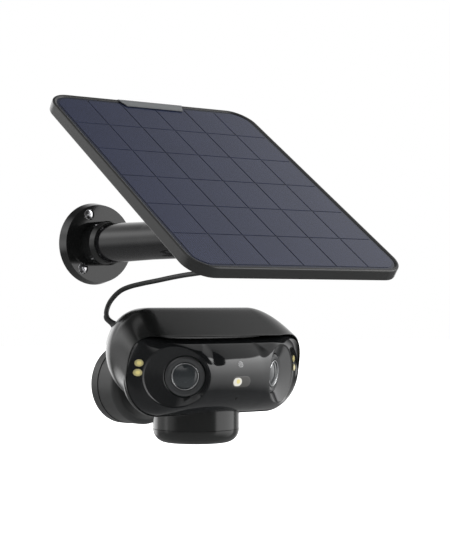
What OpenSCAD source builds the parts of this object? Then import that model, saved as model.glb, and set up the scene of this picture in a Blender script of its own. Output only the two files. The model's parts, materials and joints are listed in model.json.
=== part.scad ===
// Solar-powered security camera: a twin-lens camera on a ball mount, and a
// tilting solar panel on its own wall arm, joined by a short charging cable.
// The wall is the plane y = 0. +X is right, -Y points out from the wall, +Z is up.

/* [Camera] */
// Width of the camera hood at its widest section
hood_w = 154; // [150:1:158]
// Wall thickness of the hood
hood_wall = 2.2; // [1.8:0.1:2.6]
// Radius of the round lower housing
dome_r = 31.6; // [31:0.1:32]
// Angle of each lens away from straight ahead
lens_turn = 32; // [30:1:34]
// Angle by which each lens looks down
lens_droop = 6; // [4:1:8]

/* [Camera wall mount] */
// Radius of the camera's wall plate
plate_r = 31.4; // [31:0.1:32]
// Radius of the mounting ball
ball_r = 14; // [13.6:0.1:14]
// Pitch circle of the three open wall holes
plate_pcd = 44; // [43:1:46]

/* [Solar panel] */
// Width of the solar panel
panel_w = 178; // [174:1:182]
// Length of the solar panel up its slope
panel_l = 220; // [216:1:224]
// Thickness of the panel's rim
panel_t = 8; // [8:0.5:9]
// Angle of the panel from level as set
panel_tilt = 35; // [32:1:38]
// Cells along each side of the panel
cell_n = 6; // [4:1:8]

/* [Arm] */
// Distance of the arm's axis to the left of the camera's axis
arm_left = 29; // [28:1:30]
// Height of the arm's axis above the camera's axis
arm_up = 108; // [106:1:110]
// Distance from the wall to the tilt pivot
arm_reach = 138; // [136:1:140]

/* [Hidden] */
$fn = 64;
gap = 0.2;               // clearance between parts that don't move on each other
run = 0.05;              // radial clearance of a running fit

// Hood and face: both are lofts along y, about the face's centre height
face_z = 12;             // height of the face's centre
face_r = 30;             // radius of the face's round ends
face_hw = 78;            // half-width of the face
rim_y = -118;            // where hood and face meet at the ends
hood_y = -98;            // where the hood is tallest
hood_back_y = -56;       // back of the hood
hood_top = 59;           // highest line of the hood
nose = 30.5;             // how far the face stands out in front of the rim

// Lens facets
lens_x = 47;             // facet centre, from the middle
lens_y = -134.6;
lens_z = 10.6;
facet_r = 22.3;          // radius of the bezel that fills the facet
lens_shift = 6.4;        // lens centre, from the facet centre towards the middle
lens_sink = 4;           // depth of the lens ring below the facet
lens_r = 15;             // radius of the lens ring
led_r = 2.85;            // radius of a spotlight's clear dome

// Ball mount
ball_y = -32;            // ball centre
seat_r = ball_r + 2;     // outer radius of the friction ring
stem_r = 6.5;
stem_back = -45.05;      // shoulder of the stem, in front of the ball's flat
flange_y = -60;          // stem flange, against the lower housing
dome_y = -94;            // axis of the lower housing
dome_bottom = -39.5;

// Panel frame of reference: z = 0 is the panel's underside at its centre
stem_len = 39.3;         // from the tilt pivot to the underside
inset = 3;               // width of the panel's rim
cell_pitch_x = (panel_w - 2 * inset - 4) / cell_n;
cell_pitch_y = (panel_l - 2 * inset - 4) / cell_n;
cell_gap = 1;

// Charging cable: route points from the plug to the gland
cable_r = 1.8;
cable_route = [[-60.2, -66.2, 51.8], [-60.2, -65, 57], [-56.5, -64, 63.8], [-50, -66.5, 70.5], [-44, -71, 74],
               [-38, -80, 76.5], [-33, -91, 78.5], [-30, -104, 80.5], [-29, -118, 82], [-29, -132, 83],
               [-29, -148, 84], [-29, -164, 84.5], [-29, -178, 85], [-29, -189, 87.5], [-29, -195.5, 92.5],
               [-29, -198.6, 96.9], [-29, -200.2, 99.2]];

// ---------- helpers ----------
module along_y(y) { translate([0, y, 0]) rotate([90, 0, 0]) children(); }   // +Z of the child points out from the wall
module at_arm() { translate([-arm_left, 0, arm_up]) children(); }
module at_pivot() { translate([-arm_left, -arm_reach, arm_up]) children(); }
module at_panel() { at_pivot() rotate([panel_tilt, 0, 0]) translate([0, 0, stem_len]) children(); }
module at_facet(side)                                                    // +Z out of the lens, +X to the right
    translate([side * lens_x, lens_y, lens_z]) rotate([0, 0, side * lens_turn])
        rotate([90 + lens_droop, 0, 0]) children();
module at_lens(side) at_facet(side) translate([-side * lens_shift, 0, -lens_sink]) children();
module rounded_plate(w, l, r, h) {                
    linear_extrude(h) union() {
        square([w - 2 * r, l], center = true);
        square([w, l - 2 * r], center = true);
        for (x = [-1, 1], y = [-1, 1]) translate([x * (w / 2 - r), y * (l / 2 - r)]) circle(r);
    }
}
module tube(ro, ri, h) difference() {
    cylinder(r = ro, h = h);
    translate([0, 0, -1]) cylinder(r = ri, h = h + 2);
}

// A closed skin through rings of points, with its two ends capped
module loft(rings) {
    n = len(rings[0]);
    m = len(rings);
    polyhedron([for (ring = rings) each ring],
        [[for (i = [0:n - 1]) i],
         [for (i = [n - 1:-1:0]) (m - 1) * n + i],
         for (j = [0:m - 2], i = [0:n - 1]) [j * n + i, (j + 1) * n + i, (j + 1) * n + (i + 1) % n],
         for (j = [0:m - 2], i = [0:n - 1]) [j * n + i, (j + 1) * n + (i + 1) % n, j * n + (i + 1) % n]]);
}
// A stadium outline: two half rounds of radius r joined by straights, half-width w
function stadium(w, r, n) = [for (i = [0:n - 1])
    let (a = 360 * (i + 0.5) / n) [sign(cos(a)) * (w - r) + r * cos(a), r * sin(a)]];

// ---------- hood ----------
// Share of full size at a place from 0 (widest section) to 1 (back)
function back_share(s, p, q) = pow(max(1 - pow(s, p), 0), 1 / q);
// One section of the hood at y, smaller by inner on every side
function hood_section(y, inner) = let (
        f = max((hood_y - y) / (hood_y - rim_y), 0),
        s = max((y - hood_y) / (hood_back_y - hood_y), 0),
        w = 22 + (hood_w / 2 - 22) * back_share(s, 1.8, 1.7) + f * f - inner,
        top = 36 + (hood_top - 36) * back_share(s, 2.6, 2.2) - 17 * pow(f, 1.6) - inner,
        low = 30 - 38 * back_share(s, 1.5, 1.6) - 10 * f + inner,
        r = (top - low) / 2)
    [for (p = stadium(w, r, 44)) let (
        k = p[1] / r,
        bulge = f > 0.99 ? max(1 - pow(abs(p[0]) / 74, 3), 0) * max(k, 0) : 0)
        [p[0], y - f * f * (k > 0 ? 6 * k : 3 * k) - 8 * bulge, (top + low) / 2 + p[1] - 2 * bulge]];
hood_front = [0, 0.25, 0.5, 0.75, 1];                              // shares of the way to the rim
hood_rear = [0.97, 0.91, 0.83, 0.73, 0.62, 0.5, 0.38, 0.25, 0.12];   // shares of the way to the back
// Sections from the back to the rim, all smaller by inner
function hood_rings(inner) = concat(
    [for (s = hood_rear) hood_section(hood_y + s * (hood_back_y - hood_y - inner), inner)],
    [for (f = hood_front) hood_section(hood_y + f * (rim_y - hood_y), inner)]);
function reversed(list) = [for (i = [len(list) - 1:-1:0]) list[i]];
// The hood is a cup: its outer skin runs out to the rim, turns, and its inner skin runs back
module hood_cup() loft(concat(hood_rings(0), reversed(hood_rings(hood_wall))));
module camera_hood() color([0.16, 0.17, 0.17]) resize([0, 0, 0]) difference() {
    hood_cup();
    translate([0, dome_y, dome_bottom - 10]) cylinder(r = dome_r + 0.3, h = 70);
    translate([0, dome_y + 45, 0]) cube([40, 90, 40], center = true);
    at_charging_port() translate([0, 0, -8]) cylinder(r = 5 + gap, h = 20);
    at_card_slot() cube([19 + 2 * gap, 20, 9 + 2 * gap], center = true);
}

// ---------- face ----------
// How far the face stands out at x, and its half height there
function face_out(x, n) = n * pow(max(1 - pow(abs(x) / face_hw, 3.2), 0), 2);
function face_half(x, r) = let (e = max(abs(x) - (face_hw - face_r), 0))
    sqrt(max(r * r - e * e, 0));
face_wall = 2.4;
face_fit = 2.7;           // the face sits inside the hood's wall
function face_arc(x, r, n, back) = [for (i = [0:12]) let (a = 15 * i)
    [x, back - face_out(x, n) * sin(a), face_z - face_half(x, r) * cos(a)]];
// The face is a curved wall: each ring goes up its front and down its back
function face_ring(x) = concat(face_arc(x, face_r - face_fit, nose, rim_y),
    reversed(face_arc(x, face_r - face_fit - face_wall, nose, rim_y + face_wall)));
module face_shell() loft([for (i = [9:-1:-9]) face_ring((face_hw - 7) * sin(10 * i))]);
module face_panel() color([0.07, 0.08, 0.08]) resize([0, 0, 0]) difference() {
    face_shell();
    for (side = [-1, 1]) {
        at_facet(side) translate([0, 0, -30]) cylinder(r = facet_r + gap, h = 60, $fn = 48);
        led_places(side) translate([0, 0, -8]) cylinder(r = led_r + gap, h = 12, $fn = 20);
    }
    translate([0, dome_y, dome_bottom]) cylinder(r = dome_r + 0.3, h = 50);
    at_center(6.6) translate([0, 0, -6]) pill(16.8, 8.2, 10, $fn = 24);
    at_center(19) translate([0, 0, -6]) cylinder(r = 2.45, h = 10, $fn = 20);
    at_center(-5.4) translate([0, 0, -6]) cylinder(r = 1, h = 12, $fn = 12);
}
module at_center(z) {                                    // on the face's middle line, +Z outwards
    k = (z - face_z) / face_r;
    along_y(rim_y - nose * sqrt(1 - k * k)) translate([0, z, 0]) children();
}
module pill(w, h, d) linear_extrude(d) {
    square([w - h, h], center = true);
    for (x = [-1, 1]) translate([x * (w - h) / 2, 0]) circle(h / 2);
}
module led_places(side) for (p = [[69.2, 22.6], [70.3, 15]])
    along_y(-121.4) translate([side * p[0], p[1], 0]) children();

module lens_bezel(side) color([0.05, 0.05, 0.06]) at_facet(side) difference() {
    translate([0, 0, -9]) cylinder(r = facet_r, h = 9);
    hull() {
        translate([0, 0, 0.01]) cylinder(r = facet_r - 0.8, h = 1, $fn = 48);
        translate([-side * lens_shift, 0, -lens_sink]) cylinder(r = lens_r, h = 0.2, $fn = 48);
    }
    translate([-side * lens_shift, 0, -10]) cylinder(r = lens_r - 0.4, h = 20);
}
module lens_bezel_left() lens_bezel(-1);
module lens_bezel_right() lens_bezel(1);
module lens_barrel(side) color([0.1, 0.1, 0.1]) at_lens(side) difference() {
    union() {
        translate([0, 0, -5]) cylinder(r = lens_r - 0.6, h = 5.4);
        translate([0, 0, -20]) cylinder(r = 11, h = 15);
    }
    translate([0, 0, -3]) cylinder(r = 9.7, h = 5);
    translate([0, 0, -22]) cylinder(r = 4, h = 24);
}
module lens_barrel_left() lens_barrel(-1);
module lens_barrel_right() lens_barrel(1);
module lens_trim_ring(side) color([0.75, 0.76, 0.78]) at_lens(side) translate([0, 0, -0.6]) tube(9.6, 8.9, 1.6);
module lens_trim_ring_left() lens_trim_ring(-1);
module lens_trim_ring_right() lens_trim_ring(1);
module lens_glass(side) color([0.2, 0.22, 0.25, 0.8]) at_lens(side) translate([0, 0, -2.9])
    intersection() {
        cylinder(r = 8.8, h = 6);
        translate([0, 0, -9.5]) sphere(r = 14.5);
    }
module lens_glass_left() lens_glass(-1);
module lens_glass_right() lens_glass(1);
module image_sensor_boards() for (side = [-1, 1]) at_lens(side) {
    color([0.05, 0.3, 0.15]) translate([-12, -12, -21.8]) cube([24, 24, 1.6]);
}
module spotlight_leds(side) color([0.95, 0.85, 0.35]) led_places(side) {
    translate([0, 0, -3]) cylinder(r = led_r, h = 3);
    intersection() {
        translate([0, 0, -0.1]) cylinder(r = led_r, h = 2);
        translate([0, 0, -4.1]) sphere(r = 5);
    }
}
module spotlight_leds_left() spotlight_leds(-1);
module spotlight_leds_right() spotlight_leds(1);
module center_light_window() color([0.3, 0.3, 0.28]) at_center(6.6) translate([0, 0, -1.4]) pill(16.4, 7.8, 1.6);
module center_light_led() color([1, 0.85, 0.3]) at_center(6.6) translate([-2.6, 0, -4.2]) {
    translate([-2, -2, 0]) cube([4, 4, 1]);
    translate([0, 0, 1]) cylinder(r = 1.5, h = 0.8);
}
module light_sensor() color([0.25, 0.25, 0.28]) at_center(19) translate([0, 0, -2.6]) cylinder(r = 2.25, h = 2.7);
module microphone_mesh() color([0.02, 0.02, 0.02]) at_center(-5.4) translate([0, 0, -4]) cylinder(r = 0.85, h = 3.4);

// ---------- lower housing and what it holds ----------
module lower_housing() color([0.14, 0.15, 0.15]) difference() {
    union() {
        translate([0, dome_y, dome_bottom + 10]) cylinder(r = dome_r, h = 39);
        along_y(flange_y) cylinder(r = 13, h = 12);
    }
    translate([0, dome_y, dome_bottom + 9]) cylinder(r = dome_r - 2.4, h = 60);
    along_y(flange_y + 1) for (a = [45:90:315]) rotate([0, 0, a]) translate([9.5, 0, 0]) cylinder(r = 1.2, h = 8);
}
module bottom_cap() color([0.14, 0.15, 0.15]) translate([0, dome_y, dome_bottom]) difference() {
    rotate_extrude() {
        square([dome_r - 10, 9.8]);
        intersection() {
            translate([dome_r - 10, 10]) circle(10);
            translate([dome_r - 10, 0]) square([10, 9.8]);
        }
    }
    translate([0, 0, 3]) cylinder(r = dome_r - 10, h = 10);
    translate([0, -12, -1]) cylinder(r = 4.2, h = 6);
    for (a = [0:60:300]) rotate([0, 0, a]) translate([5, 3, -1]) cylinder(r = 0.8, h = 6);
}
module main_board() color([0.05, 0.3, 0.15]) translate([-26, -122, 26.5]) cube([52, 3, 7]);
module battery_cells() color([0.2, 0.35, 0.6]) for (x = [-9.6, 9.6])
    translate([x, dome_y + 2, -28]) cylinder(r = 9.2, h = 64);
module motion_sensor() color([0.85, 0.85, 0.82]) translate([0, dome_y - 21, -22]) {
    rotate([90, 0, 0]) cylinder(r = 4.6, h = 4);
    rotate([90, 0, 0]) translate([0, 0, 4]) cylinder(r = 3.9, h = 1);
}
module speaker() color([0.1, 0.1, 0.1]) translate([0, dome_y, dome_bottom + 3.1]) {
    cylinder(r = 10, h = 3);
    translate([0, 0, 3]) cylinder(r = 6, h = 3);
}
module antenna_strip() color([0.75, 0.6, 0.2]) translate([30, -112, 30]) cube([30, 8, 1]);
module power_button() color([0.2, 0.2, 0.21]) translate([0, dome_y - 12, dome_bottom]) {
    translate([0, 0, -0.6]) cylinder(r = 4, h = 2.8);
}
module stem_screws() color([0.6, 0.6, 0.62]) along_y(-58) for (a = [45:90:315])
    rotate([0, 0, a]) translate([9.5, 0, 0]) {
        cylinder(r = 1.1, h = 8);
        translate([0, 0, -1.4]) cylinder(r = 2.1, h = 1.4);
    }
module at_card_slot() translate([58.5, -70, 31]) rotate([0, 0, -37]) children();
module card_slot_flap() color([0.12, 0.12, 0.12]) at_card_slot() translate([-9.5, -1.6, -4.5]) cube([19, 2, 9]);
module at_charging_port() translate([-53.2, -73.5, 43.2]) rotate([0, 0, 135]) rotate([0, 48, 0]) children();
module charging_port() color([0.3, 0.3, 0.32]) at_charging_port() difference() {
    translate([0, 0, -7]) cylinder(r = 5.1, h = 11);
    cylinder(r = 4.6, h = 6);
    translate([0, 0, -8]) cylinder(r = 2.4, h = 10);
}
module cable_plug() color([0.12, 0.12, 0.12]) hull() {
    at_charging_port() translate([0, 0, 0.2]) cylinder(r = 4.4, h = 4, $fn = 32);
    translate([-60, -66.5, 50]) cylinder(r = 2.2, h = 1, $fn = 32);
}

// ---------- charging cable ----------
function unit(v) = v / norm(v);
// Catmull-Rom point on the route, at span i and share t
function route_at(i, t) = let (
        last = len(cable_route) - 1,
        a = cable_route[max(i - 1, 0)], b = cable_route[i],
        c = cable_route[i + 1], d = cable_route[min(i + 2, last)])
    0.5 * (2 * b + t * (c - a) + t * t * (2 * a - 5 * b + 4 * c - d) + t * t * t * (3 * b - a - 3 * c + d));
cable_line = concat([for (i = [0:len(cable_route) - 2], t = [0, 0.5]) route_at(i, t)],
                    [cable_route[len(cable_route) - 1]]);
function cable_ring(i) = let (
        last = len(cable_line) - 1,
        dir = unit(cable_line[min(i + 1, last)] - cable_line[max(i - 1, 0)]),
        side = unit(cross(dir, [1, 0.2, 0])),
        up = cross(side, dir))
    [for (k = [0:7]) cable_line[i] + cable_r * (cos(45 * k) * side + sin(45 * k) * up)];
module charging_cable() color([0.08, 0.08, 0.08]) loft([for (i = [len(cable_line) - 1:-1:0]) cable_ring(i)]);

// ---------- solar panel ----------
module panel_frame() color([0.13, 0.14, 0.15]) at_panel() difference() {
    rounded_plate(panel_w, panel_l, 18, panel_t);
    translate([0, 0, -1]) rounded_plate(panel_w - 2 * inset, panel_l - 2 * inset, 18 - inset, panel_t + 2);
}
module panel_back_cover() color([0.12, 0.12, 0.13]) at_panel() translate([0, 0, 0.6])
    rounded_plate(panel_w - 2 * inset - 0.1, panel_l - 2 * inset - 0.1, 18 - inset, 2.4);
module panel_laminate() color([0.12, 0.13, 0.18]) at_panel() translate([0, 0, 3])
    rounded_plate(panel_w - 2 * inset - 0.1, panel_l - 2 * inset - 0.1, 18 - inset, panel_t - 3.9);
module solar_cells() color([0.2, 0.22, 0.33]) at_panel() translate([0, 0, panel_t - 0.9])
    intersection() {
        for (i = [0:cell_n - 1], j = [0:cell_n - 1])
            translate([(i - (cell_n - 1) / 2) * cell_pitch_x, (j - (cell_n - 1) / 2) * cell_pitch_y, 0.15])
                cube([cell_pitch_x - cell_gap, cell_pitch_y - cell_gap, 0.3], center = true);
        rounded_plate(panel_w - 2 * inset - 3, panel_l - 2 * inset - 3, 18 - inset, 1);
    }
module panel_label_plate() color([0.2, 0.21, 0.22]) at_panel() translate([0, panel_l / 2, panel_t])
    linear_extrude(0.6) polygon([[-28.5, -1], [28.5, -1], [24.5, -9.5], [-24.5, -9.5]]);
module junction_box() color([0.12, 0.12, 0.13]) at_panel() difference() {
    translate([0, -56, -9.4]) rounded_plate(52, 34, 4, 10);
    translate([0, -56, -7.4]) rounded_plate(48, 30, 3, 7);
    translate([0, -56, -10]) cylinder(r = 3.2, h = 4);
}
module cable_gland() color([0.1, 0.1, 0.1]) at_panel() translate([0, -56, 0]) difference() {
    union() {
        translate([0, 0, -7.2]) cylinder(r = 3.1, h = 3);
        translate([0, 0, -13.6]) cylinder(r = 4.6, h = 4.2);
        translate([0, 0, -9.5]) cylinder(r = 3.1, h = 3);
    }
    translate([0, 0, -15]) cylinder(r = cable_r + 0.02, h = 5);
}
module panel_swivel_disc() color([0.11, 0.11, 0.12]) at_panel() difference() {
    translate([0, 0, -8]) cylinder(r = 23, h = 8);
    translate([0, 0, -9]) cylinder(r = 6 + run, h = 7);
    for (a = [45:90:315]) rotate([0, 0, a]) translate([18.5, 0, -9]) cylinder(r = 1.6, h = 10);
}

module swivel_screws() color([0.6, 0.6, 0.62]) at_panel() for (a = [45:90:315])
    rotate([0, 0, a]) translate([18.5, 0, 0]) {
        translate([0, 0, -8]) cylinder(r = 1.5, h = 8);
        translate([0, 0, -9.6]) cylinder(r = 2.8, h = 1.6);
    }

// ---------- arm and tilt joint ----------
module swivel_tongue() color([0.12, 0.12, 0.13]) at_pivot() rotate([panel_tilt, 0, 0]) difference() {
    union() {
        rotate([0, 90, 0]) cylinder(r = 10.5, h = 9.4, center = true);
        translate([-4.7, -8, 0]) cube([9.4, 16, 14]);
        translate([0, 0, 12]) cylinder(r = 9, h = stem_len - 12 - 8.4);
        translate([0, 0, 25]) cylinder(r = 14.5, h = stem_len - 25 - 8.3);
        translate([0, 0, stem_len - 9]) cylinder(r = 6, h = 6.5);
    }
    rotate([0, 90, 0]) cylinder(r = 3 + run, h = 12, center = true);
}
module tilt_fork() color([0.1, 0.1, 0.1]) at_pivot() difference() {
    union() {
        for (side = [-1, 1]) translate([side * 8, 0, 0]) {
            rotate([0, 90, 0]) cylinder(r = 11, h = 6, center = true);
            translate([-3, 0, -11]) cube([6, 16, 22]);
        }
        along_y(20) cylinder(r = 13.6, h = 8);
        along_y(30) cylinder(r = 11.4, h = 12);
    }
    rotate([0, 90, 0]) cylinder(r = 3 + run, h = 40, center = true);
}
module tilt_bolt() color([0.7, 0.7, 0.72]) at_pivot() rotate([0, 90, 0]) {
    translate([0, 0, -11.2]) cylinder(r = 3, h = 35.2);
    translate([0, 0, -14.6]) cylinder(r = 5.5, h = 3.5, $fn = 6);
}
module tilt_knob() color([0.08, 0.08, 0.08]) at_pivot() rotate([0, 90, 0]) difference() {
    union() {
        translate([0, 0, 11.3]) cylinder(r = 6, h = 3);
        translate([0, 0, 14.3]) cylinder(r = 10, h = 8);
    }
    translate([0, 0, 10]) cylinder(r = 3 + run, h = 20);
    for (a = [0:45:315]) rotate([0, 0, a]) translate([11.2, 0, 13]) cylinder(r = 2.4, h = 12);
}
module arm_tube() color([0.05, 0.05, 0.06]) at_arm() difference() {
    union() {
        along_y(-25.3) cylinder(r = 15, h = 4.7);
        along_y(-30) cylinder(r1 = 15, r2 = 14, h = 50);
        along_y(-80) cylinder(r = 14, h = 38);
        along_y(-9) cylinder(r = 12, h = 18);
    }
    along_y(-5) cylinder(r = 9, h = 80);
    along_y(-84) cylinder(r = 11.5, h = 50);
}
module arm_collar() color([0.1, 0.1, 0.1]) at_arm() difference() {
    union() {
        along_y(-7.8) cylinder(r = 17, h = 12.2);
        along_y(-20) cylinder(r1 = 17, r2 = 15.6, h = 5);
    }
    along_y(-7) cylinder(r = 12 + run, h = 22);
    set_screw_place() cylinder(r = 2.1, h = 8);
}
module set_screw_place() along_y(-14) rotate([0, 0, 225]) rotate([0, 90, 0]) translate([0, 0, 12.2]) children();
module arm_set_screw() color([0.6, 0.6, 0.62]) at_arm() difference() {
    set_screw_place() cylinder(r = 2, h = 4.4);
    set_screw_place() translate([0, 0, 3]) cylinder(r = 1.1, h = 3, $fn = 6);
}
module wall_screw_places() at_arm() for (a = [112.5:120:352.5])
    along_y(0) rotate([0, 0, a]) translate([24.1, 0, 0]) children();
module panel_wall_base() color([0.1, 0.1, 0.1]) difference() {
    at_arm() along_y(0) cylinder(r1 = 31.5, r2 = 29.9, h = 7.8);
    wall_screw_places() translate([0, 0, -1]) cylinder(r = 2.2, h = 10);
    wall_screw_places() translate([0, 0, 5]) cylinder(r = 4.3, h = 4);
    at_arm() along_y(1) cylinder(r = 8, h = 12);
}
module wall_screws() color([0.75, 0.75, 0.77]) difference() {
    wall_screw_places() {
        translate([0, 0, 0.3]) cylinder(r = 2, h = 5);
        translate([0, 0, 5.1]) cylinder(r = 3.9, h = 2);
        intersection() {
            translate([0, 0, 7]) cylinder(r = 3.9, h = 2);
            translate([0, 0, 1.6]) sphere(r = 6.7);
        }
    }
    wall_screw_places() for (a = [0, 90]) rotate([0, 0, a]) translate([0, 0, 8]) cube([4, 0.8, 2], center = true);
}

// ---------- camera wall mount ----------
module camera_wall_plate() color([0.12, 0.12, 0.12]) difference() {
    along_y(0) cylinder(r = plate_r, h = 8.5);
    along_y(-3.5) cylinder(r = plate_r - 3, h = 6);
    for (a = [90:120:330]) along_y(1) rotate([0, 0, a]) translate([plate_pcd / 2, 0, 0]) cylinder(r = 2.25, h = 8);
}
module camera_base_cover() color([0.11, 0.12, 0.12]) rotate([90, 0, 0]) difference() {
    rotate_extrude() {
        translate([0, 8.8]) square([31, 11.2]);
        translate([0, 20]) square([19, 18]);
        intersection() {
            translate([19, 20]) circle(12);
            translate([19, 20]) square([12, 12]);
        }
        translate([0, 32]) square([19, 6]);
    }
    translate([0, 0, 8]) cylinder(r = 28, h = 12);
    translate([0, 0, -ball_y]) sphere(r = seat_r + 0.3);
}
module ball_friction_ring() color([0.75, 0.75, 0.72]) along_y(ball_y) difference() {
    sphere(r = seat_r);
    sphere(r = ball_r + 0.15);
    translate([0, 0, 5]) cylinder(r = 20, h = 20);
    translate([0, 0, -25]) cylinder(r = 20, h = 17);
}
module mount_ball() color([0.1, 0.1, 0.1]) along_y(ball_y) difference() {
    sphere(r = ball_r);
    translate([0, 0, 13]) cylinder(r = 20, h = 10);
    translate([0, 0, -2]) cylinder(r = 5 + run, h = 20);
}
module mount_stem() color([0.1, 0.1, 0.1]) {
    along_y(ball_y + 1) cylinder(r = 5, h = 16);
    along_y(stem_back) cylinder(r = stem_r, h = 12.95);
    along_y(-58) difference() {
        cylinder(r = 13, h = 2);
        for (a = [45:90:315]) rotate([0, 0, a]) translate([9.5, 0, -1]) cylinder(r = 1.2, h = 4);
    }
}

camera_wall_plate();
camera_base_cover();
ball_friction_ring();
mount_ball();
mount_stem();
stem_screws();
camera_hood();
face_panel();
lower_housing();
bottom_cap();
lens_bezel_left();
lens_bezel_right();
lens_barrel_left();
lens_barrel_right();
lens_trim_ring_left();
lens_trim_ring_right();
lens_glass_left();
lens_glass_right();
image_sensor_boards();
spotlight_leds_left();
spotlight_leds_right();
center_light_window();
center_light_led();
light_sensor();
microphone_mesh();
main_board();
battery_cells();
motion_sensor();
speaker();
antenna_strip();
power_button();
card_slot_flap();
charging_port();
cable_plug();
charging_cable();
cable_gland();
junction_box();
panel_frame();
panel_back_cover();
panel_laminate();
solar_cells();
panel_label_plate();
panel_swivel_disc();
swivel_screws();
swivel_tongue();
tilt_fork();
tilt_bolt();
tilt_knob();
arm_tube();
arm_collar();
arm_set_screw();
panel_wall_base();
wall_screws();
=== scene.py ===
import json
import math

import bpy
import numpy as np
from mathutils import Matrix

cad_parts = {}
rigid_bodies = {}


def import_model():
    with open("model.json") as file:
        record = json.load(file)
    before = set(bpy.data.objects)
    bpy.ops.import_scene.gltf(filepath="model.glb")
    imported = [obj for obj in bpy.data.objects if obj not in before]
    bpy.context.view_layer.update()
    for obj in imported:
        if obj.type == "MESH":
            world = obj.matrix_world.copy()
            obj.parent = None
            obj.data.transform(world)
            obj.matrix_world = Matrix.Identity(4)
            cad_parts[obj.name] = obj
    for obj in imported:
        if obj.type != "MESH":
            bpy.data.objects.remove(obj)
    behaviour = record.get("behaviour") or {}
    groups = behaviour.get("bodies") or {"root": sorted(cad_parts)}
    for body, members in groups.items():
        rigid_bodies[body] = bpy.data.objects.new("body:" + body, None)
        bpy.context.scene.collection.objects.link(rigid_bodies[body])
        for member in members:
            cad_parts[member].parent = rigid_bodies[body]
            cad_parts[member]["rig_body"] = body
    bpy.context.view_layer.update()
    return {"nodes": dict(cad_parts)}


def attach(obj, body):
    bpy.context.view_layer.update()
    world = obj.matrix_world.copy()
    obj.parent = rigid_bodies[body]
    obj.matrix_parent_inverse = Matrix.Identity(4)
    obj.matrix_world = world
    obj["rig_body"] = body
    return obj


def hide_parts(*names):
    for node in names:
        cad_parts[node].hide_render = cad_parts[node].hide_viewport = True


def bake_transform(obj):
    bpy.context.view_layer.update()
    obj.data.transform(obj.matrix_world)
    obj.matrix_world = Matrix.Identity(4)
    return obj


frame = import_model()


# ---------- camera, light and floor ----------
# The view is from the left of the object and slightly below it, through a long lens.
# Soft boxes stand in front to the right, above, to the left and behind; the floor is pale and plain.
view_eye = np.array([-0.6576, -0.9891, 0.0614])
view_forward = np.array([0.6072, 0.7942, 0.0227])
lens_mm = 100.6
sensor_mm = 36.0
background = (1.0, 1.0, 1.0, 1.0)
surround = 0.10                              # what the object sees where there is no soft box
box_bearing = (0.783, -0.622, 0.0)             # the large soft box stands to the right in front
box_radiance = 4.2
floor_height = -0.42
floor_half = 14.0


def look(obj, eye, forward):
    """Puts obj at eye with its -Z along forward and its Y as near to up as that allows."""
    from mathutils import Vector
    obj.location = Vector(eye)
    obj.rotation_euler = Vector(forward).to_track_quat("-Z", "Y").to_euler()


lens = bpy.data.cameras.new("main_view")
lens.lens = lens_mm
lens.sensor_width = sensor_mm
lens.clip_start = 0.01
lens.clip_end = 60.0
viewer = bpy.data.objects.new("main_view", lens)
bpy.context.scene.collection.objects.link(viewer)
look(viewer, view_eye, view_forward)
bpy.context.scene.camera = viewer
bpy.context.scene.view_settings.view_transform = "Standard"

world = bpy.data.worlds.new("studio")
world.use_nodes = True
bpy.context.scene.world = world
wn, wl = world.node_tree.nodes, world.node_tree.links
wn.remove(wn["Background"])


def wire(node, *inputs, **settings):
    """A world node with its settings made and its first inputs joined or set."""
    made = wn.new(node)
    for key, value in settings.items():
        setattr(made, key, value)
    for k, value in enumerate(inputs):
        if hasattr(value, "links"):
            wl.new(value, made.inputs[k])
        else:
            made.inputs[k].default_value = value
    return made.outputs[0]


def step(value, low, high):
    """0 below low, 1 above high and smooth between; high may be the smaller of the two."""
    if high < low:
        return wire("ShaderNodeMath", 1.0, step(value, high, low), operation="SUBTRACT")
    return wire("ShaderNodeMapRange", value, low, high, 0.0, 1.0, interpolation_type="SMOOTHSTEP")


def times(*factors):
    """The product of its factors."""
    total = factors[0]
    for factor in factors[1:]:
        total = wire("ShaderNodeMath", total, factor, operation="MULTIPLY")
    return total


towards = wn.new("ShaderNodeTexCoord").outputs["Generated"]
parts = wn.new("ShaderNodeSeparateXYZ")
wl.new(towards, parts.inputs[0])
to_x, to_y, to_z = parts.outputs
level = wire("ShaderNodeVectorMath", wire("ShaderNodeVectorMath", towards, (1, 1, 0), operation="MULTIPLY"),
             operation="NORMALIZE")
dot = wn.new("ShaderNodeVectorMath")
dot.operation = "DOT_PRODUCT"
wl.new(level, dot.inputs[0])
dot.inputs[1].default_value = box_bearing
bearing = dot.outputs["Value"]
# Each box is cut out of the sky by steps in the direction's x, y and z; its last factor is its radiance.
fall = wire("ShaderNodeMapRange", to_z, -0.65, 0.69, 0.0, 1.0)
front_box = times(step(bearing, 0.80, 0.87), step(to_z, 0.69, 0.65), fall, box_radiance)
over_box = times(step(to_x, 0.2, 0.5), step(to_z, 0.60, 0.68), step(to_z, 0.86, 0.80),
                 step(to_y, 0.5, -0.1), 0.28)
behind = times(step(to_y, -0.1, 0.35), step(to_z, 0.72, 0.42), step(to_z, -0.35, 0.05), 0.8)
right = times(step(to_x, 0.45, 0.75), step(to_z, 0.92, 0.74), step(to_z, 0.45, 0.6), 0.45)
left = times(step(to_x, -0.15, -0.5), step(to_z, 0.90, 0.65), step(to_z, 0.15, 0.45), 0.75)
below = times(step(to_z, -0.1, -0.4), 0.15)
top = times(step(to_z, 0.86, 0.94), 0.5)
aside = wire("ShaderNodeMath", to_x, operation="ABSOLUTE")
rear_sides = times(step(aside, 0.74, 0.86), step(to_y, 0.4, 0.6), step(to_z, -0.5, -0.3),
                   step(to_z, 0.6, 0.45), 1.2)
rear = times(step(to_y, 0.92, 0.97), 1.3)
total = surround
for light in (front_box, over_box, behind, right, left, below, top, rear_sides, rear):
    total = wire("ShaderNodeMath", total, light, operation="ADD")
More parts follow.
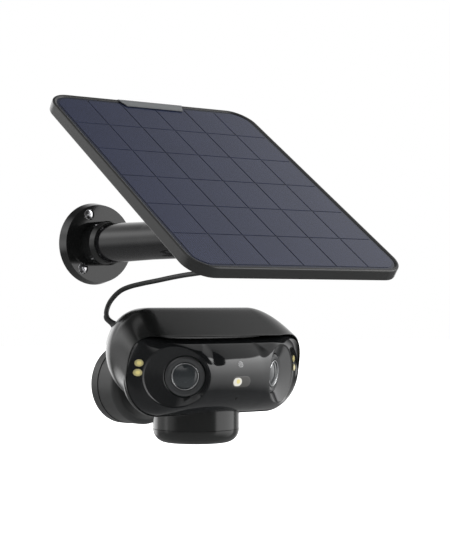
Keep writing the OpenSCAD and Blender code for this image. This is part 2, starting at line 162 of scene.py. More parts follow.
around = wire("ShaderNodeBackground", (1, 1, 1, 1), total)
seen = wire("ShaderNodeBackground", background, 1.0)
is_seen = wn.new("ShaderNodeLightPath").outputs["Is Camera Ray"]
wl.new(wire("ShaderNodeMixShader", is_seen, around, seen), wn["World Output"].inputs["Surface"])

floor_mesh = bpy.data.meshes.new("floor")
floor_mesh.from_pydata([(-floor_half, -floor_half, floor_height), (floor_half, -floor_half, floor_height),
                        (floor_half, floor_half, floor_height), (-floor_half, floor_half, floor_height)],
                       [], [(0, 1, 2, 3)])
floor = bpy.data.objects.new("floor", floor_mesh)
bpy.context.scene.collection.objects.link(floor)
floor_look = bpy.data.materials.new("floor")
floor_look.use_nodes = True
floor_shader = floor_look.node_tree.nodes["Principled BSDF"]
floor_shader.inputs["Base Color"].default_value = (0.93, 0.93, 0.93, 1)
floor_shader.inputs["Roughness"].default_value = 1.0
floor_shader.inputs["Specular IOR Level"].default_value = 0.0
floor_shader.inputs["Emission Color"].default_value = (1, 1, 1, 1)
floor_shader.inputs["Emission Strength"].default_value = 1.0
floor_mesh.materials.append(floor_look)
floor.visible_glossy = False


# ---------- charging cable ----------
# A round two-core cable with a soft black PVC jacket, from the camera's port to the panel's box.
# It hangs in one smooth sweep; it crosses six joints, so it is six lengths end to end.
cable_mm = 3.6
cable_sides = 20
cable_route = [(-52.2, -74.5, 42.3), (-54.8, -71.9, 45.0), (-57.4, -69.4, 47.7), (-59.3, -67.4, 49.9),
               (-59.9, -65.9, 52.4), (-59.4, -65, 57), (-55.3, -64, 63.8), (-49.5, -66.5, 70.5),
               (-44, -71, 74), (-38, -80, 76.5), (-33, -91, 78.5), (-30, -104, 80.5), (-29, -118, 82),
               (-29, -132, 83),
               (-29, -148, 84), (-29, -164, 84.5), (-29, -178, 85), (-29, -189, 87.5), (-29, -195.5, 92.5),
               (-29, -198.6, 96.9), (-29, -200.2, 99.2), (-29, -202.2, 102.1)]
cable_crosses = [("camera", "ball"), ("ball", "ball_seat"), ("ball_seat", "wall_mounts"),
                 ("wall_mounts", "arm"), ("arm", "tongue"), ("tongue", "panel")]


def build(name, points, faces, crease=30.0):
    """A mesh object from points in millimetres and faces, smooth but for edges sharper than crease."""
    mesh = bpy.data.meshes.new(name)
    mesh.from_pydata((np.asarray(points, float) / 1000).tolist(), [], faces)
    mesh.update()
    mesh.shade_smooth()
    mesh.set_sharp_from_angle(angle=math.radians(crease))
    obj = bpy.data.objects.new(name, mesh)
    bpy.context.scene.collection.objects.link(obj)
    return obj


def grid_faces(m, n, start=0, around=True, wrap=False):
    """Quads between m rings of n points; around closes each ring, wrap joins the last ring to the first."""
    j, i = np.meshgrid(np.arange(m if wrap else m - 1), np.arange(n if around else n - 1), indexing="ij")
    j2, i2 = (j + 1) % m, (i + 1) % n
    return (start + np.stack([j * n + i, j * n + i2, j2 * n + i2, j2 * n + i], -1)).reshape(-1, 4).tolist()


def skin(name, rings, caps=True, wrap=False, crease=30.0):
    """Rings (m, n, 3) joined by quads; caps closes each end with a fan about that ring's middle."""
    rings = np.asarray(rings, float)
    m, n = rings.shape[:2]
    points = rings.reshape(-1, 3)
    faces = grid_faces(m, n, wrap=wrap)
    if caps and not wrap:
        points = np.vstack([points, rings[0].mean(0), rings[-1].mean(0)])
        i = np.arange(n)
        i2 = (i + 1) % n
        faces += np.stack([i2, i, np.full(n, m * n)], -1).tolist()
        faces += np.stack([(m - 1) * n + i, (m - 1) * n + i2, np.full(n, m * n + 1)], -1).tolist()
    return build(name, points, faces, crease)


def plastic(name, colour, rough, coat=0.0, coat_rough=0.05, metal=0.0, grain=0.0, grain_mm=0.6, spread=0.04):
    """A procedural finish: colour and roughness drift by spread over a soft noise; grain is a fine bump."""
    made = bpy.data.materials.new(name)
    made.use_nodes = True
    nodes, links = made.node_tree.nodes, made.node_tree.links
    shader = nodes["Principled BSDF"]
    where = nodes.new("ShaderNodeTexCoord")
    drift = nodes.new("ShaderNodeTexNoise")
    drift.inputs["Scale"].default_value = 35.0
    links.new(where.outputs["Object"], drift.inputs["Vector"])
    tint = nodes.new("ShaderNodeMapRange")
    tint.inputs["To Min"].default_value = 1 - spread
    tint.inputs["To Max"].default_value = 1 + spread
    links.new(drift.outputs["Fac"], tint.inputs["Value"])
    scale = nodes.new("ShaderNodeVectorMath")
    scale.operation = "SCALE"
    scale.inputs[0].default_value = colour
    links.new(tint.outputs[0], scale.inputs["Scale"])
    links.new(scale.outputs[0], shader.inputs["Base Color"])
    dull = nodes.new("ShaderNodeMapRange")
    dull.inputs["To Min"].default_value = rough * (1 - spread)
    dull.inputs["To Max"].default_value = rough * (1 + spread)
    links.new(drift.outputs["Fac"], dull.inputs["Value"])
    links.new(dull.outputs[0], shader.inputs["Roughness"])
    shader.inputs["Metallic"].default_value = metal
    shader.inputs["Coat Weight"].default_value = coat
    shader.inputs["Coat Roughness"].default_value = coat_rough
    if grain:
        fine = nodes.new("ShaderNodeTexNoise")
        fine.inputs["Scale"].default_value = 1000 / grain_mm
        links.new(where.outputs["Object"], fine.inputs["Vector"])
        bump = nodes.new("ShaderNodeBump")
        bump.inputs["Distance"].default_value = 0.00002
        bump.inputs["Strength"].default_value = grain
        links.new(fine.outputs["Fac"], bump.inputs["Height"])
        links.new(bump.outputs[0], shader.inputs["Normal"])
    return made


def dress(made, *objs):
    """Gives every material slot of the pieces, or of the CAD nodes named, this finish."""
    for obj in objs:
        mesh = frame["nodes"][obj].data if isinstance(obj, str) else obj.data
        if not mesh.materials:
            mesh.materials.append(made)
        for k in range(len(mesh.materials)):
            mesh.materials[k] = made


def spline(route, steps):
    """Catmull-Rom curve through the route: 0.5 (2b + t(c-a) + t^2(2a-5b+4c-d) + t^3(3b-a-3c+d))."""
    p = np.vstack([route[:1], route, route[-1:]]).astype(float)
    a, b, c, d = (p[k:len(p) - 3 + k, None] for k in range(4))
    t = np.linspace(0, 1, steps, endpoint=False)[None, :, None]
    curve = 0.5 * (2 * b + t * (c - a) + t ** 2 * (2 * a - 5 * b + 4 * c - d)
                   + t ** 3 * (3 * b - a - 3 * c + d))
    return np.vstack([curve.reshape(-1, 3), p[-1:]])


def even(curve, step):
    """The same line with points about step apart along its length."""
    run = np.concatenate([[0], np.cumsum(np.linalg.norm(np.diff(curve, axis=0), axis=1))])
    at = np.linspace(0, run[-1], int(round(run[-1] / step)) + 1)
    return np.stack([np.interp(at, run, curve[:, k]) for k in range(3)], 1)


def tube_rings(line, radius, sides):
    """Circles square to a line; radius is a number or one for each point."""
    ahead = np.gradient(line, axis=0)
    ahead /= np.linalg.norm(ahead, axis=1, keepdims=True)
    side = np.cross(ahead, [1, 0.2, 0])
    side /= np.linalg.norm(side, axis=1, keepdims=True)
    up = np.cross(ahead, side)
    a = np.linspace(0, 2 * np.pi, sides, endpoint=False)[None, :, None]
    r = np.broadcast_to(radius, len(line))[:, None, None]
    return line[:, None] + r * (np.cos(a) * side[:, None] + np.sin(a) * up[:, None])


jacket = plastic("cable_jacket", (0.018, 0.019, 0.019), 0.42, grain=0.4)
# The moulded plug and its tapered strain relief, pressed into the camera's port
plug_route = [(-52.2, -74.5, 42.3), (-54.8, -71.9, 45.0), (-57.4, -69.4, 47.7), (-59.3, -67.4, 49.9),
              (-60.1, -66.3, 51.4), (-60.2, -65.9, 53.6)]
plug_line = even(spline(plug_route, 12), 0.4)
plug_share = np.linspace(0, 1, len(plug_line))
plug_radius = 2.15 + 2.25 * (1 / (1 + np.exp((plug_share - 0.42) / 0.055)))
plug_radius[-3:] = [2.13, 2.0, 1.82]
plug = skin("plug_strain_relief", tube_rings(plug_line, plug_radius, 32))
dress(jacket, plug)
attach(plug, "camera")
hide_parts("cable_plug")
cable_line = even(spline(cable_route, 12), 1.0)
cable_circles = tube_rings(cable_line, cable_mm / 2, cable_sides)
cable_cuts = np.linspace(0, len(cable_line) - 1, len(cable_crosses) + 1).round().astype(int)
for number, ((near, far), first, last) in enumerate(zip(cable_crosses, cable_cuts[:-1], cable_cuts[1:])):
    piece = skin("charging_cable_%d" % (number + 1), cable_circles[first:last + 1])
    dress(jacket, piece)
    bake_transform(piece)
    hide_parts("charging_cable")


# ---------- camera wall mount ----------
# A round plate screwed to the wall and a domed cover over it, in textured black ABS.
# The cover holds the nylon friction ring in which the camera's ball turns.
mount_black = plastic("mount_black", (0.016, 0.0165, 0.0165), 0.34, grain=0.5)
natural_nylon = plastic("natural_nylon", (0.62, 0.60, 0.54), 0.45)
screw_steel = plastic("screw_steel", (0.72, 0.72, 0.74), 0.25, metal=1.0)


def filleted(corners, steps=7, hold=0.35):
    """A line through corners (r, z, radius), each rounded by an arc of that radius.

    A point follows just beyond each end of an arc, to hold the flat beside it."""
    c = [np.array(p, float) for p in corners]
    line = [c[0][:2]]
    for before, here, after in zip(c[:-2], c[1:-1], c[2:]):
        p, radius = here[:2], here[2]
        if radius <= 0:
            line.append(p)
            continue
        u, v = before[:2] - p, after[:2] - p
        room = min(np.linalg.norm(u), np.linalg.norm(v)) * 0.49
        u, v = u / np.linalg.norm(u), v / np.linalg.norm(v)
        half = math.acos(np.clip(u @ v, -1, 1)) / 2
        reach = min(radius / math.tan(half), room)
        middle = p + (u + v) / np.linalg.norm(u + v) * reach / math.cos(half)
        a, b = p + u * reach - middle, p + v * reach - middle
        turn = math.pi - 2 * half
        s = np.linspace(0, 1, steps)[:, None]
        arc = middle + (np.sin((1 - s) * turn) * a + np.sin(s * turn) * b) / math.sin(turn)
        beyond = min(hold, room * 0.5)
        line += [p + u * (reach + beyond), *arc, p + v * (reach + beyond)]
    line.append(c[-1][:2])
    return np.array(line)


def turn(axis, degrees):
    """The matrix that turns about one axis."""
    c, s = math.cos(math.radians(degrees)), math.sin(math.radians(degrees))
    k = "xyz".index(axis)
    m = np.eye(3)
    a, b = (k + 1) % 3, (k + 2) % 3
    m[a, a] = m[b, b] = c
    m[a, b], m[b, a] = -s, s
    return m


def turned(name, corners, spin, place, sides=128, steps=7, crease=30.0):
    """A solid of revolution, carried through spin and place.

    Its outline (r, z) goes from the low end of the axis outwards and up."""
    line = filleted(corners, steps)
    inner = line[0][0] > 0
    line = line if inner else line[1:-1]
    ends = (corners[0], corners[-1])
    a = np.linspace(0, 2 * np.pi, sides, endpoint=False)
    across, along = line[:, :1], line[:, 1:]
    rings = np.stack([across * np.cos(a), across * np.sin(a), np.repeat(along, sides, 1)], -1)
    if inner:
        return skin(name, rings @ spin.T + place, caps=False, wrap=True, crease=crease)
    low, high = (np.array([[[0, 0, e[1]]]]).repeat(sides, 1) for e in ends)
    near_low, near_high = rings[:1] * [0.05, 0.05, 1], rings[-1:] * [0.05, 0.05, 1]
    near_low[..., 2], near_high[..., 2] = ends[0][1], ends[1][1]
    rings = np.concatenate([near_low, rings, near_high])
    return skin(name, rings @ spin.T + place, crease=crease)


outwards = turn("x", 90)
cover = turned("camera_base_cover_shell",
               [(24, 8.8, 0), (31, 8.8, 0.5), (31, 32, 12), (19, 32, 2.2), (19, 38, 1.6), (15.3, 38, 0.6),
                (15.9, 30, 0), (24, 16, 0), (24, 8.8, 0)],
               outwards, np.zeros(3), steps=13)
dress(mount_black, cover, "camera_wall_plate", "mount_ball", "mount_stem")
dress(natural_nylon, "ball_friction_ring")
dress(screw_steel, "stem_screws")
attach(cover, "wall_mounts")
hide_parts("camera_base_cover")


# ---------- camera hood ----------
# The main shell of the camera: one moulding in black ABS with a fine satin texture.
# It is widest near its middle, closes round at the back and reaches over the face as a visor.
satin = plastic("hood_satin", (0.010, 0.0105, 0.0103), 0.17, grain=0.4, grain_mm=0.5)
hood_y, rim_y, hood_back_y = -98.0, -118.0, -56.0
face_z = 12.0
hood_points = 192
mouth_hw, mouth_r = 77.1, 29.1               # half width and end radius of the mouth that holds the face
visor_dip = 4.2                              # how far the middle of the visor's edge dips
visor_hw = 74.0                              # half width of that dip


def share(s, p, q):
    """(1 - s^p)^(1/q): 1 at the widest section, 0 at the back."""
    return np.maximum(1 - s ** p, 0) ** (1 / q)


def hood_section(y, inner=0.0, forward=0.0):
    """Stadium outline at y, of half width w and end radius r.

    Towards the rim its upper corners get fuller, from exponent 2 to 3.2."""
    f = max((hood_y - y) / (hood_y - rim_y), 0.0)
    s = max((y - hood_y) / (hood_back_y - hood_y), 0.0)
    w = 22 + 55 * share(s, 1.8, 1.7) + f * f - inner
    top = 36 + 23 * share(s, 2.6, 2.2) - 17 * f ** 1.6 - inner
    low = 30 - 38 * share(s, 1.5, 1.6) - 10 * f + inner
    r = (top - low) / 2
    a = np.linspace(0, 2 * np.pi, hood_points, endpoint=False) + np.pi / hood_points
    c, k = np.cos(a), np.sin(a)
    power = np.where(k > 0, 2 / (2 + 1.2 * f), 1.0)
    c, k = np.sign(c) * np.abs(c) ** power, np.sign(k) * np.abs(k) ** power
    x = np.sign(c) * (w - r) + r * c
    lean = f * f * np.where(k > 0, 6 * k, 3 * k)
    bulge = f ** 3 * np.maximum(1 - np.abs(x / visor_hw) ** 3, 0) * np.maximum(k, 0) ** 1.5
    return np.stack([x, y - lean - 8 * bulge - forward, (top + low) / 2 + r * k - visor_dip * bulge], 1)


back_steps = 1 - np.linspace(0.02, 1, 44) ** 1.9
hood_outer = [hood_section(hood_y + s * (hood_back_y - hood_y)) for s in back_steps]
hood_outer += [hood_section(hood_y + f * (rim_y - hood_y)) for f in np.linspace(0, 1, 30)[1:]]
hood_pole = hood_outer[0].mean(0) + [0, 0.35, 0]
hood_close = [hood_pole + (hood_outer[0] - hood_pole) * k for k in (0.15, 0.4, 0.7, 0.9)]
lip = [hood_section(rim_y, 0.12, 0.22), hood_section(rim_y, 0.3, 0.25), hood_section(rim_y, 0.42, 0.05)]
lip_in = lip[-1]
seat = lip_in.copy()
seat_up = np.clip((lip_in[:, 2] - face_z) / mouth_r, 0, 1)
seat_lean = 6 * seat_up * np.clip(np.abs(lip_in[:, 0]) / mouth_hw, 0, 1) ** 3
seat[:, 1] = np.maximum(lip_in[:, 1] + 3.5, rim_y + 2.5 - seat_lean)
hood_in = [lip_in + (seat - lip_in) * k for k in (0.1, 0.3, 0.6, 1.0)]
deep = [seat * [0.97, 1, 0.97] + [0, 4, 0.3], seat * [0.6, 1, 0.6] + [0, 6, 5]]
hood = skin("camera_hood_shell", np.array(hood_close + hood_outer + lip + hood_in + deep), crease=50)
dress(satin, hood)
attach(hood, "camera")
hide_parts("camera_hood")


# ---------- camera face ----------
# A polished black polycarbonate window panel, moulded as a half round that swells to the front.
# Two flat facets are cut into it for the lenses; it drops into the hood's mouth with a fine dark gap.
piano = plastic("face_polished", (0.007, 0.0075, 0.008), 0.06)
nose = 30.5
nose_hw = 78.0                               # half width over which the nose fades to nothing
face_hw, face_r = mouth_hw, mouth_r
full = 3.2                                   # exponent of the face's upper corners
swell = 1.6
facet_across, facet_high = 24.0, 21.5
facet_at = np.array([47.0, -134.6, 10.6])
lens_turn, lens_droop = 32.0, 6.0
split_x = 20.0


def face_half(x, up):
    """Half height at x: a stadium's below, a fuller one above, less the visor's dip in the middle."""
    e = np.clip((np.abs(x) - (face_hw - face_r)) / face_r, 0, 0.999999)
    dip = visor_dip * np.maximum(1 - np.abs(x / visor_hw) ** 3, 0)
    return np.where(up, face_r * (1 - e ** full) ** (1 / full) - dip, face_r * np.sqrt(1 - e ** 2))


def face_y(x, z):
    """y = rim - lean - D(x) sqrt(1 - k^2): k is the share of the half height.

    D = nose (1 - |x / nose_hw|^3.2)^swell. lean brings the edge to the hood's rim and fades as k^3:
    6 kz |x/hw|^3 above and -3 kz below, with kz = height / radius."""
    up = z > face_z
    out = nose * np.maximum(1 - np.abs(x / nose_hw) ** 3.2, 0) ** swell
    k = np.clip(np.abs(z - face_z) / np.maximum(face_half(x, up), 1e-6), 0, 1)
    kz = np.abs(z - face_z) / face_r
    lean = np.where(up, 6 * kz * np.abs(x / face_hw) ** 3, -3 * kz) * k ** 3
    return rim_y - lean - out * np.sqrt(1 - k ** 2)


def facet_frame(side):
    """Columns: right, up and outward of the facet on that side."""
    return turn("z", side * lens_turn) @ turn("x", 90 + lens_droop)


def facet_rim(side, outer):
    """The facet's oval edge in the direction of each outer point (x, z), drawn half way back to the face."""
    axes, centre = facet_frame(side), facet_at * [side, 1, 1]
    along = np.linalg.solve(axes[[0, 2]][:, :2], (outer - centre[[0, 2]]).T).T
    along /= np.sqrt((along[:, 0] / facet_across) ** 2 + (along[:, 1] / facet_high) ** 2)[:, None]
    p = centre + along @ axes[:, :2].T
    p[:, 1] -= 0.5 * (p[:, 1] - face_y(p[:, 0], p[:, 2]))
    return p


def weld(points, faces):
    """Joins points that fall together, to a thousandth of a millimetre, and drops faces that close up."""
    _, first, where = np.unique(np.round(points, 3), axis=0, return_index=True, return_inverse=True)
    where = where.reshape(-1)
    kept = [list(dict.fromkeys(where[f].tolist())) for f in faces]
    return points[first], [f for f in kept if len(f) > 2]


rows, skirt = 64, 5.0
arc = -np.cos(np.linspace(0, np.pi, rows + 1))
mid_x = np.linspace(-split_x, split_x, 33)


def column(x):
    """Heights from the lower edge to the upper edge at x, closer together near both."""
    return face_z + arc * np.where(arc > 0, face_half(x, True), face_half(x, False))


def add(points, flip):
    """Adds a grid of points (m, n, 3), open on all sides, to the face."""
    quads = np.array(grid_faces(*points.shape[:2], start=sum(len(p) for p in face_points), around=False))
    face_points.append(points.reshape(-1, 3))
    face_faces.append(quads[:, ::-1] if flip else quads)


face_points, face_faces = [], []
mid_z = column(mid_x[:, None])
mid = np.stack([np.broadcast_to(mid_x[:, None], mid_z.shape), face_y(mid_x[:, None], mid_z), mid_z], -1)
add(mid, True)
add(np.stack([mid[:, -1], mid[:, -1] + [0, skirt, 0]]), False)
add(np.stack([mid[:, 0], mid[:, 0] + [0, skirt, 0]]), True)
facet_rims = {}
for side in (-1, 1):
    low_x = np.linspace(split_x, face_hw - face_r, 15)[1:]
    end = np.linspace(-np.pi / 2, np.pi / 2, 97)[1:-1]
    corner = np.where(end > 0, 2 / full, 1.0)
    end_x = face_hw - face_r + face_r * np.cos(end) ** corner
    end_z = np.where(end > 0, face_z + face_half(end_x, True), face_z + face_r * np.sin(end))
    outline = np.concatenate([
        np.stack([np.full(rows + 1, split_x), column(split_x)[::-1]], 1),
        np.stack([low_x, face_z - face_half(low_x, False)], 1), np.stack([end_x, end_z], 1),
        np.stack([low_x[::-1], face_z + face_half(low_x[::-1], True)], 1)])
    outline[:, 0] *= side
    outline = np.vstack([outline, outline[:1]])
    rim = facet_rim(side, outline)
    facet_rims[side] = rim[:-1]
    v = np.sin(np.linspace(0, np.pi / 2, 26))[:, None]
    flat = (1 - v[..., None]) * rim[None][:, :, [0, 2]] + v[..., None] * outline[None]
    pulled = (rim[:, 1] - face_y(rim[:, 0], rim[:, 2])) * (1 - v) ** 2 * (1 + 2 * v)
    chart = np.stack([flat[..., 0], face_y(flat[..., 0], flat[..., 1]) + pulled, flat[..., 1]], -1)
    add(chart, side > 0)
    add(np.stack([chart[-1, rows:], chart[-1, rows:] + [0, skirt, 0]]), side > 0)
face = build("face_panel_skin", *weld(np.vstack(face_points), np.vstack(face_faces)), crease=40)
dress(piano, face)
wall = face.modifiers.new("wall", "SOLIDIFY")
wall.thickness = 0.0009                      # metres, inwards from the polished skin
wall.offset = -1
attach(face, "camera")
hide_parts("face_panel")


# ---------- lens facets and lenses ----------
# Each lens sits in an eccentric polished dish: a ring of black plastic, a bright ring and a domed glass.
# The dish's edge is exactly where the flat facet meets the curved face.
lens_shift, lens_sink, lens_r = 6.4, 4.0, 15.0
glass_r, glass_rise = 8.8, 2.3
dish_black = plastic("dish_polished", (0.008, 0.0085, 0.009), 0.10)
lens_black = plastic("lens_ring_black", (0.030, 0.031, 0.032), 0.20)
bright = plastic("bright_ring", (0.86, 0.87, 0.88), 0.16, metal=1.0)
glass = plastic("lens_dome_glass", (0.020, 0.023, 0.025), 0.05, coat=0.6, coat_rough=0.01)
for side, word in ((-1, "left"), (1, "right")):
    axes, centre = facet_frame(side), facet_at * [side, 1, 1]
    rim = (facet_rims[side] - centre) @ axes
    angle = np.arctan2(rim[:, 1], rim[:, 0])
    order = np.argsort(angle)
    rim, angle = rim[order], angle[order]
    off = np.array([-side * lens_shift, 0, 0])
    towards = rim[:, :2] - off[:2]
    towards /= np.linalg.norm(towards, axis=1, keepdims=True)

    def circle(r, z):
        """A circle of radius r about the lens axis, z over the facet, one point for each of the rim's."""
        return np.column_stack([towards * r, np.full(len(towards), z)]) + off

    ring = circle(lens_r, -lens_sink)
    inside = rim * [0.985, 0.985, 1] - [0, 0, 0.28]
    rings = [rim * [0.99, 0.99, 1] - [0, 0, 1.6], rim * [1.001, 1.001, 1] - [0, 0, 0.5],
             rim, rim * [0.995, 0.995, 1]]
    rings += [inside + (ring - inside) * t for t in np.linspace(0, 1, 14)]
    rings += [circle(lens_r - 0.25, -lens_sink - 0.15), circle(lens_r - 0.3, -lens_sink - 2.5),
              circle(lens_r + 1, -lens_sink - 2.5)]
    dish = skin("lens_bezel_%s_dish" % word, np.array(rings) @ axes.T + centre,
                caps=False, wrap=True, crease=45)
    dress(dish_black, dish)
    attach(dish, "camera")
    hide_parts("lens_bezel_" + word)

    seat_at = centre + axes @ (off - [0, 0, lens_sink])
    barrel = turned("lens_barrel_%s_ring" % word,
                    [(0, -3, 0), (14.2, -3, 0.3), (14.2, 0.1, 0.7), (12.6, 0.95, 1.5), (10.2, 0.5, 0.3),
                     (9.6, -0.4, 0.2), (0, -0.4, 0)], axes, seat_at)
    dress(lens_black, barrel)
    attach(barrel, "camera")
    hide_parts("lens_barrel_" + word)
    shine = turned("lens_trim_ring_%s_metal" % word,
                   [(8.9, -0.4, 0), (9.6, -0.4, 0), (9.6, 0.9, 0.25), (8.9, 0.9, 0.25), (8.9, -0.4, 0)],
                   axes, seat_at)
    dress(bright, shine)
    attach(shine, "camera")
    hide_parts("lens_trim_ring_" + word)
    slope = np.linspace(0, 1, 24)
    dome_out = glass_r * np.cos(slope[:-1] * np.pi / 2)
    dome_line = [(r, glass_rise * (1 - (r / glass_r) ** 2), 0) for r in dome_out]
    dome = turned("lens_glass_%s_dome" % word,
                  [(0, -0.4, 0), (glass_r, -0.4, 0), *dome_line, (0, glass_rise, 0)], axes, seat_at)
    dress(glass, dome)
    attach(dome, "camera")
    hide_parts("lens_glass_" + word)


# ---------- lamps and sensors in the face ----------
# Warm white LEDs under clear domes, a clear window over the middle lamp, a light sensor
# and a microphone hole. They are pressed into the face from behind.
led_d, phosphor_d = 5.0, 2.8
led_dome = plastic("led_dome", (0.36, 0.32, 0.15), 0.25, coat=0.8)
led_yellow = plastic("led_phosphor", (0.60, 0.52, 0.20), 0.25, coat=0.8)
pane = plastic("window_smoke", (0.040, 0.039, 0.037), 0.10)
sensor = plastic("light_sensor", (0.02, 0.02, 0.022), 0.15, coat=0.8)
rim_grey = plastic("light_sensor_rim", (0.16, 0.16, 0.165), 0.3, coat=0.5)
# The microphone hole is a flat disc a little proud of the face, near black and matt: the dark inside of the
# hole is painted shade.
painted_hole_shade = plastic("microphone_painted_shade", (0.002, 0.002, 0.002), 0.9)


def inlay(name, x, z, w, h, proud, finish, node=None):
    """A pill w by h set into the face at (x, z): it follows the face's curve and stands proud of it."""
    a = np.linspace(0, 2 * np.pi, 64, endpoint=False)
    pill = np.stack([np.sign(np.cos(a)) * (w - h) / 2 + h / 2 * np.cos(a), h / 2 * np.sin(a)], 1)
    rings = []
    for size, depth in ((1, 0.6), (1, -proud * 0.5),
                        (0.97, -proud), (0.8, -proud), (0.5, -proud), (0.2, -proud)):
        px, pz = x + pill[:, 0] * size, z + pill[:, 1] * size
        rings.append(np.stack([px, face_y(px, pz) + depth, pz], 1))
    made = skin(name, rings)
    dress(finish, made)
    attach(made, "camera")
    if node:
        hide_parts(node)


for side, word in ((-1, "left"), (1, "right")):
    for number, (led_x, led_z) in enumerate(((69.8, 20.8), (70.6, 14.2))):
        inlay("spotlight_led_%s_%d" % (word, number + 1), side * led_x, led_z, led_d, led_d, 0.2,
              led_dome, "spotlight_leds_" + word)
        inlay("spotlight_phosphor_%s_%d" % (word, number + 1), side * led_x, led_z, phosphor_d, phosphor_d,
              0.28, led_yellow, None)
reflector = plastic("lamp_reflector", (0.55, 0.54, 0.48), 0.3, coat=0.8)
inlay("center_light_pane", 0, 6.6, 16.4, 7.8, 0.12, pane, "center_light_window")
inlay("center_light_reflector", -3.3, 6.6, 7.6, 6.0, 0.18, reflector)
inlay("center_light_chip", -2.8, 6.9, 3.2, 3.2, 0.26, led_yellow, "center_light_led")
inlay("light_sensor_rim", 0, 19, 4.6, 4.6, 0.10, rim_grey, "light_sensor")
inlay("light_sensor_eye", 0, 19, 3.3, 3.3, 0.16, sensor)
# Painted shade: a near-black matt disc stands for the dark inside of the microphone hole.
inlay("microphone_hole", 0, -5.4, 1.7, 1.7, 0.05, painted_hole_shade, "microphone_mesh")


# ---------- lower housing ----------
# A round can under the hood that holds the batteries, closed by a domed cap with the speaker and the button.
# Satin black ABS like the hood.
down_axis = np.array([0, -94.0, 0])
can = turned("lower_housing_can", [(0, -29.5, 0), (31.6, -29.5, 0.25), (31.6, 9.5, 0.5), (0, 9.5, 0)],
             np.eye(3), down_axis)
boss = turned("lower_housing_boss", [(0, 60, 0), (13, 60, 0.6), (13, 72, 0.6), (0, 72, 0)],
              outwards, np.zeros(3))
dress(satin, can, boss, "bottom_cap", "power_button", "card_slot_flap", "charging_port")
for piece in (can, boss):
    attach(piece, "camera")
    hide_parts("lower_housing")


# ---------- parts inside the camera ----------
# Circuit boards, two round battery cells, the motion sensor, the speaker and the antenna.
# They are screwed or clipped inside and hardly show.
board = plastic("circuit_board", (0.02, 0.12, 0.05), 0.4)
cell_wrap = plastic("battery_wrap", (0.05, 0.12, 0.35), 0.3)
dark_inside = plastic("inside_black", (0.02, 0.02, 0.02), 0.6)
gold = plastic("antenna_brass", (0.75, 0.55, 0.2), 0.3, metal=1.0)
dress(board, "image_sensor_boards", "main_board")
dress(cell_wrap, "battery_cells")
dress(dark_inside, "speaker", "motion_sensor")
dress(gold, "antenna_strip")


# ---------- arm of the solar panel ----------
# A round base on the wall, a collar with a set screw and a polished black tube that carries the tilt fork.
# Moulded in black ABS; the tube is gloss.
gloss = plastic("arm_gloss", (0.005, 0.005, 0.0055), 0.09)
arm_at = np.array([-29.0, 0, 108.0])
tube = turned("arm_tube_gloss", [(0, 12, 0), (12, 12, 0), (12, 25.3, 0.4), (15, 25.3, 0.5), (15, 30, 4),
                                 (14, 80, 8), (14, 118, 1), (0, 118, 0)], outwards, arm_at)
dress(gloss, tube)
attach(tube, "arm")
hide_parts("arm_tube")
collar = turned("arm_collar_ring", [(12.05, 7.8, 0), (17, 7.8, 0.3), (17, 20, 1.2), (15.6, 25, 0.8),
                                    (12.05, 25, 0), (12.05, 7.8, 0)], outwards, arm_at)
base_black = plastic("base_black", (0.007, 0.0073, 0.0073), 0.08)
dress(base_black, collar, "panel_wall_base")
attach(collar, frame["nodes"]["arm_collar"]["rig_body"])
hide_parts("arm_collar")
dress(screw_steel, "arm_set_screw", "wall_screws", "tilt_bolt", "swivel_screws")
dress(mount_black, "tilt_fork", "tilt_knob", "swivel_tongue", "panel_swivel_disc")


# ---------- solar panel ----------
# A glass-fronted laminate of dark blue cells in a black ABS frame with a rounded lip.
# The frame is one moulding; the back cover closes it and carries the junction box.
pivot = np.array([-29.0, -138.0, 108.0])
lean = turn("x", 35)
panel_at = pivot + lean @ np.array([0, 0, 39.3])
panel_w, panel_l, panel_t, rim_w = 178.0, 220.0, 8.0, 3.0
panel_corner = 18.0
finger_pitch = 0.0018                        # fine silver lines on the cells, in metres
finger_depth = 0.12                          # how far they lighten and darken the cell
frame_black = plastic("panel_frame_black", (0.011, 0.0115, 0.0115), 0.30, grain=0.4)


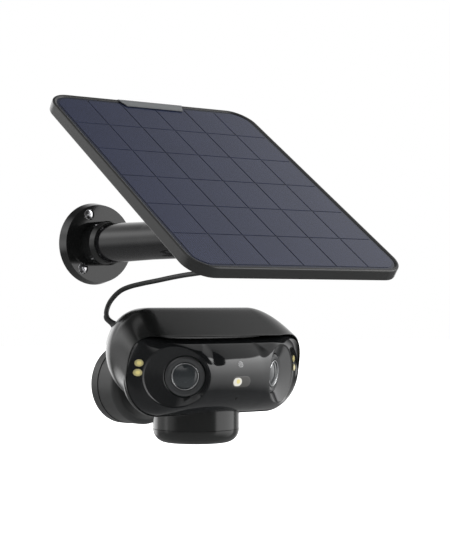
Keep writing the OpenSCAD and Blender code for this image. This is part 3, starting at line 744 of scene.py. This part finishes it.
def rounded_outline(w, l, r, n=16):
    """Points round a rectangle with corners of radius r, counter-clockwise, n for each corner."""
    a = np.linspace(0, np.pi / 2, n)
    quarter = np.stack([np.cos(a), np.sin(a)], 1)
    points = []
    for k, (sx, sy) in enumerate(((1, 1), (-1, 1), (-1, -1), (1, -1))):
        c, s = math.cos(k * math.pi / 2), math.sin(k * math.pi / 2)
        q = quarter @ np.array([[c, s], [-s, c]])
        points.append(q * r + [sx * (w / 2 - r), sy * (l / 2 - r)])
    return np.vstack(points)


lip_line = filleted([(1.5, 0, 0), (0, 0, 1.1), (0, panel_t, 1.3), (1.7, panel_t, 0.25), (rim_w, 7.35, 0.15),
                     (rim_w, 0.6, 0), (1.5, 0, 0)], steps=6)
frame_rings = []
for inset, height in lip_line:
    outline = rounded_outline(panel_w - 2 * inset, panel_l - 2 * inset, panel_corner - inset)
    frame_rings.append(np.column_stack([outline, np.full(len(outline), height)]))
edge = skin("panel_frame_ring", np.array(frame_rings) @ lean.T + panel_at, caps=False, wrap=True)
dress(frame_black, edge, "panel_back_cover", "junction_box", "cable_gland")
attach(edge, "panel")
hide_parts("panel_frame")
laminate = plastic("laminate_dark", (0.018, 0.022, 0.040), 0.13)
cells = plastic("solar_cells", (0.026, 0.032, 0.066), 0.13, spread=0.10)
plate = plastic("label_plate_grey", (0.17, 0.177, 0.183), 0.38)
# The cell's tint is its slow drift plus finger_depth sin(2 pi x / finger_pitch).
tree = cells.node_tree
apart = tree.nodes.new("ShaderNodeSeparateXYZ")
tree.links.new(tree.nodes["Texture Coordinate"].outputs["Object"], apart.inputs[0])
finger = tree.nodes.new("ShaderNodeMath")
finger.operation = "MULTIPLY"
finger.inputs[1].default_value = 2 * math.pi / finger_pitch
tree.links.new(apart.outputs["X"], finger.inputs[0])
ripple = tree.nodes.new("ShaderNodeMath")
ripple.operation = "SINE"
tree.links.new(finger.outputs[0], ripple.inputs[0])
lines = tree.nodes.new("ShaderNodeMath")
lines.operation = "MULTIPLY_ADD"
lines.inputs[1].default_value = finger_depth
tree.links.new(ripple.outputs[0], lines.inputs[0])
tree.links.new(tree.nodes["Map Range"].outputs[0], lines.inputs[2])
tree.links.new(lines.outputs[0], tree.nodes["Vector Math"].inputs["Scale"])
dress(laminate, "panel_laminate")
dress(cells, "solar_cells")
dress(plate, "panel_label_plate")
